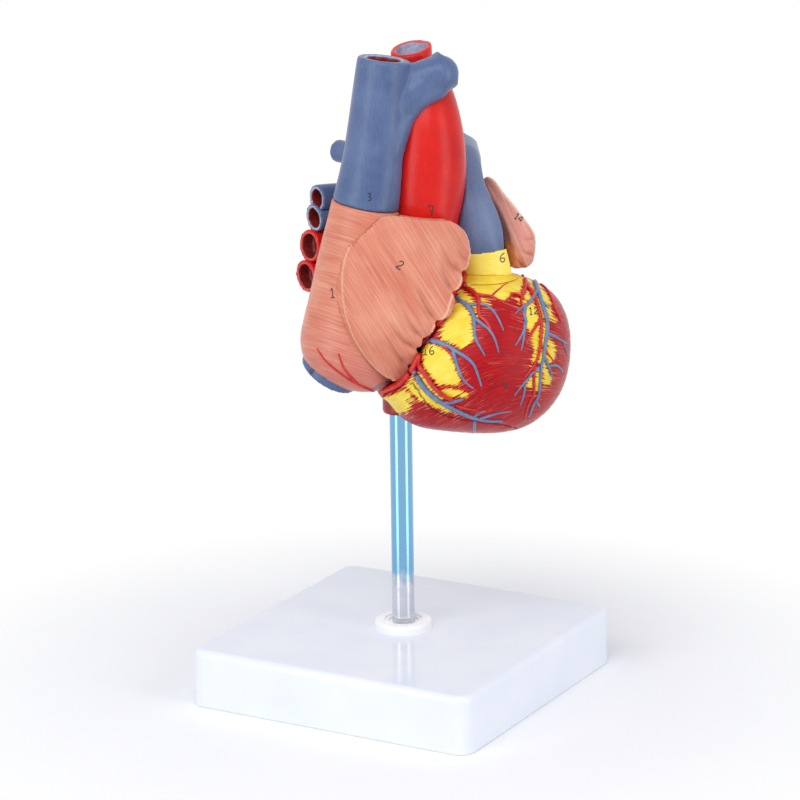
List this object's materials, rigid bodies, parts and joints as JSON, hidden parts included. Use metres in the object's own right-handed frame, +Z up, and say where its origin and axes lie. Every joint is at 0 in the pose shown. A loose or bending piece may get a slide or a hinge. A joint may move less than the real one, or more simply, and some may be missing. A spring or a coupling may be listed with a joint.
{
  "type": "human heart anatomy model",
  "caption": "Painted human heart model on a steel rod and square base, with a lift-off front wall over its chambers and valves.",
  "frame": {"origin": "centre of the base's underside, on the rod's axis", "axes": "+X along the base's front edge to the viewer's right, -Y the front of the stand, +Z up"},
  "size_m": [0.14, 0.14, 0.2873],
  "materials": {
    "artery_red": "hand-painted satin",
    "valve_cream": "hand-painted satin",
    "vein_blue": "hand-painted satin",
    "white_plastic": "satin moulded plastic",
    "ventricle_muscle": "hand-painted satin",
    "magnet_metal": "nickel plated",
    "atrium_muscle": "hand-painted satin",
    "papillary_red": "hand-painted satin",
    "fat_yellow": "hand-painted satin",
    "collar_plastic": "satin moulded plastic",
    "screw_steel": "zinc plated",
    "socket_plastic": "moulded plastic",
    "rod_steel": "polished rod"
  },
  "bodies": {
    "stand": {"base_plate": "white_plastic", "rod_collar": "collar_plastic"},
    "rod": {"support_rod": "rod_steel", "rod_screw": "screw_steel", "rod_washer": "screw_steel"},
    "heart": {"aorta": "artery_red", "aortic_valve": "valve_cream", "azygos_vein": "vein_blue", "brachiocephalic_trunk": "artery_red", "heart_magnets": "magnet_metal", "inferior_vena_cava": "vein_blue", "left_atrium": "atrium_muscle", "left_auricle": "atrium_muscle", "left_brachiocephalic_vein": "vein_blue", "left_carotid_artery": "artery_red", "left_lower_pulmonary_vein": "artery_red", "left_papillary_muscles": "papillary_red", "left_pulmonary_artery": "vein_blue", "left_subclavian_artery": "artery_red", "left_upper_pulmonary_vein": "artery_red", "lower_lobar_artery": "vein_blue", "mitral_valve": "valve_cream", "pulmonary_ring": "fat_yellow", "pulmonary_trunk": "vein_blue", "pulmonary_valve": "valve_cream", "right_atrium": "atrium_muscle", "right_auricle": "atrium_muscle", "right_lower_pulmonary_vein": "artery_red", "right_papillary_muscles": "papillary_red", "right_pulmonary_artery": "vein_blue", "right_upper_pulmonary_vein": "artery_red", "rod_socket": "socket_plastic", "superior_vena_cava": "vein_blue", "tricuspid_valve": "valve_cream", "upper_lobar_artery": "vein_blue", "ventricle_back": "ventricle_muscle"},
    "front_wall": {"front_wall": "ventricle_muscle", "wall_magnets": "magnet_metal"}
  },
  "joints": [
    {"name": "rod_swivel", "type": "hinge", "parent": "stand", "child": "rod", "pos_m": [0, 0, 0], "axis": [0, 0, 1], "continuous": true},
    {"name": "heart_lift", "type": "slide", "parent": "rod", "child": "heart", "axis": [0, 0, 1], "range_m": [0, 0.06]},
    {"name": "front_wall_pull", "type": "slide", "parent": "heart", "child": "front_wall", "axis": [0.866, -0.5, 0], "range_m": [0, 0.09]}
  ]
}
